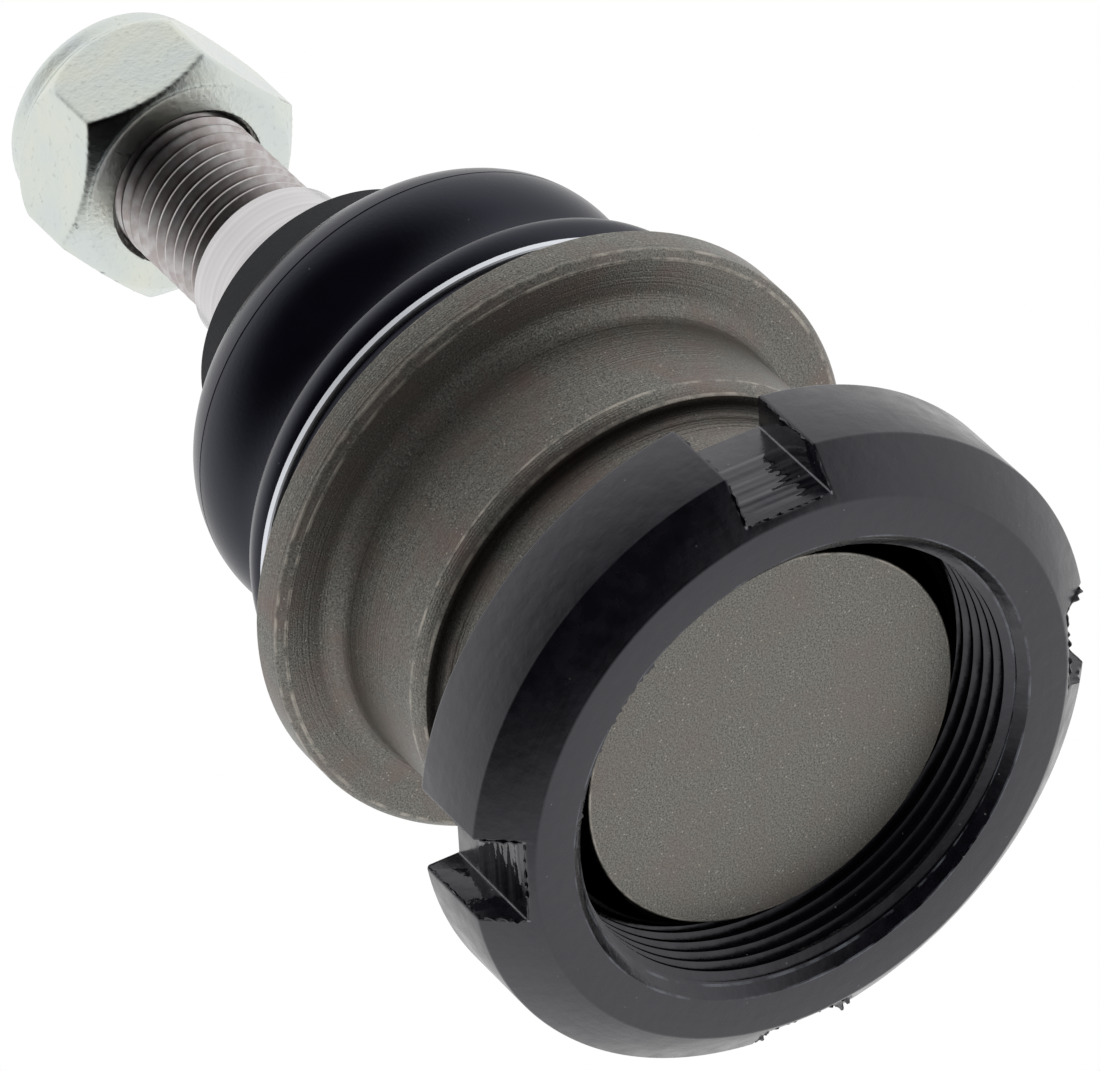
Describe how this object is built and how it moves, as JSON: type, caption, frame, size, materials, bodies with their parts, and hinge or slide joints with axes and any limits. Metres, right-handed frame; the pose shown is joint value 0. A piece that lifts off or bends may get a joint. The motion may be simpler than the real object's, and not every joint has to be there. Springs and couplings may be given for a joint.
{
  "type": "suspension ball joint",
  "caption": "Flanged ball joint that is clamped in a suspension arm by a slotted ring nut, with a tapered, threaded ball stud, rubber boot and locking nut.",
  "frame": {"origin": "centre of the ring nut's open face, on the common axis", "axes": "+Z along the stud towards its nut; +X through the middle of one spanner slot of the ring nut"},
  "size_m": [0.058, 0.058, 0.1126],
  "materials": {
    "phosphated_steel": "forged and turned steel, grey phosphate coating",
    "black_paint": "steel with a satin black dip coat",
    "bright_steel": "turned and rolled bright steel",
    "zinc_plate": "zinc-plated steel, clear passivated",
    "band_steel": "bright spring steel band",
    "boot_rubber": "moulded rubber, slight gloss",
    "seat_plastic": "acetal, natural",
    "nylon": "nylon, natural"
  },
  "bodies": {
    "housing": {"housing": "phosphated_steel", "ball_seat": "seat_plastic", "closing_ring": "phosphated_steel", "boot_band": "band_steel"},
    "ring_nut": {"ring_nut": "black_paint"},
    "boot": {"boot": "boot_rubber"},
    "stud_swing": {"lip_ring": "band_steel"},
    "ball_stud": {"ball_stud": "bright_steel"},
    "nut_thread": {"nut_insert": "nylon"},
    "stud_nut": {"stud_nut": "zinc_plate"}
  },
  "joints": [
    {"name": "ring_nut_travel", "type": "slide", "parent": "housing", "child": "ring_nut", "axis": [0, 0, 1], "range_m": [-0.0015, 0.0105]},
    {"name": "tilt_x", "type": "hinge", "parent": "housing", "child": "boot", "pos_m": [0, 0, 0.0295], "axis": [1, 0, 0], "range_deg": [-15, 15], "deforming": ["boot"]},
    {"name": "tilt_y", "type": "hinge", "parent": "boot", "child": "stud_swing", "pos_m": [0, 0, 0.0295], "axis": [0, 1, 0], "range_deg": [-15, 15], "deforming": ["boot"]},
    {"name": "stud_spin", "type": "hinge", "parent": "stud_swing", "child": "ball_stud", "pos_m": [0, 0, 0.0295], "axis": [0, 0, 1], "continuous": true},
    {"name": "nut_travel", "type": "slide", "parent": "ball_stud", "child": "nut_thread", "axis": [0, 0, 1], "range_m": [-0.0135, 0.0075]},
    {"name": "nut_turn", "type": "hinge", "parent": "nut_thread", "child": "stud_nut", "pos_m": [0, 0, 0.105], "axis": [0, 0, 1], "range_deg": [-3240, 1800]}
  ],
  "couplings": [
    {"joint": "nut_travel", "follows": "nut_turn", "m_per_rad": 0.00023873}
  ]
}
